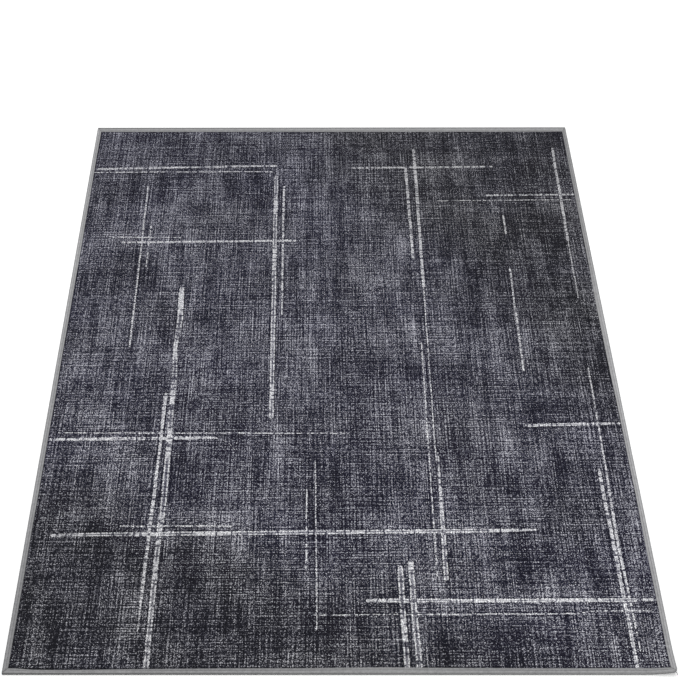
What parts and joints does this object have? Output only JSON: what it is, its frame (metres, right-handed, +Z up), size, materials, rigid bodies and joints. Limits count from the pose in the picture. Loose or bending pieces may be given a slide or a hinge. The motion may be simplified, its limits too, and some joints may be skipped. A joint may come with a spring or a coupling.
{
  "type": "chair mat",
  "caption": "Rectangular fabric-faced chair mat with a printed dark weave, sewn edge binding and non-slip rubber backing.",
  "frame": {"origin": "middle of the mat at floor level", "axes": "+X along the width, +Y along the length away from the near side, +Z up out of the printed face"},
  "size_m": [1.2, 1.6, 0.0053],
  "materials": {
    "face_fabric": "flat printed weave, navy-charcoal with off-white strokes",
    "adhesive_film": "thin laminating film",
    "cushion_felt": "needle-punched felt",
    "grip_backing": "matt rubber with moulded grip studs",
    "binding_tape": "grey woven polyester tape",
    "seam_thread": "twisted polyester thread",
    "care_label": "blank satin ribbon"
  },
  "bodies": {
    "root": {"face_fabric": "face_fabric", "upper_adhesive_film": "adhesive_film", "cushion_felt": "cushion_felt", "lower_adhesive_film": "adhesive_film", "grip_backing": "grip_backing", "care_label": "care_label", "binding_near": "binding_tape", "needle_thread_near": "seam_thread", "bobbin_thread_near": "seam_thread", "binding_right": "binding_tape", "needle_thread_right": "seam_thread", "bobbin_thread_right": "seam_thread", "binding_far": "binding_tape", "needle_thread_far": "seam_thread", "bobbin_thread_far": "seam_thread", "binding_left": "binding_tape", "needle_thread_left": "seam_thread", "bobbin_thread_left": "seam_thread"}
  },
  "joints": []
}
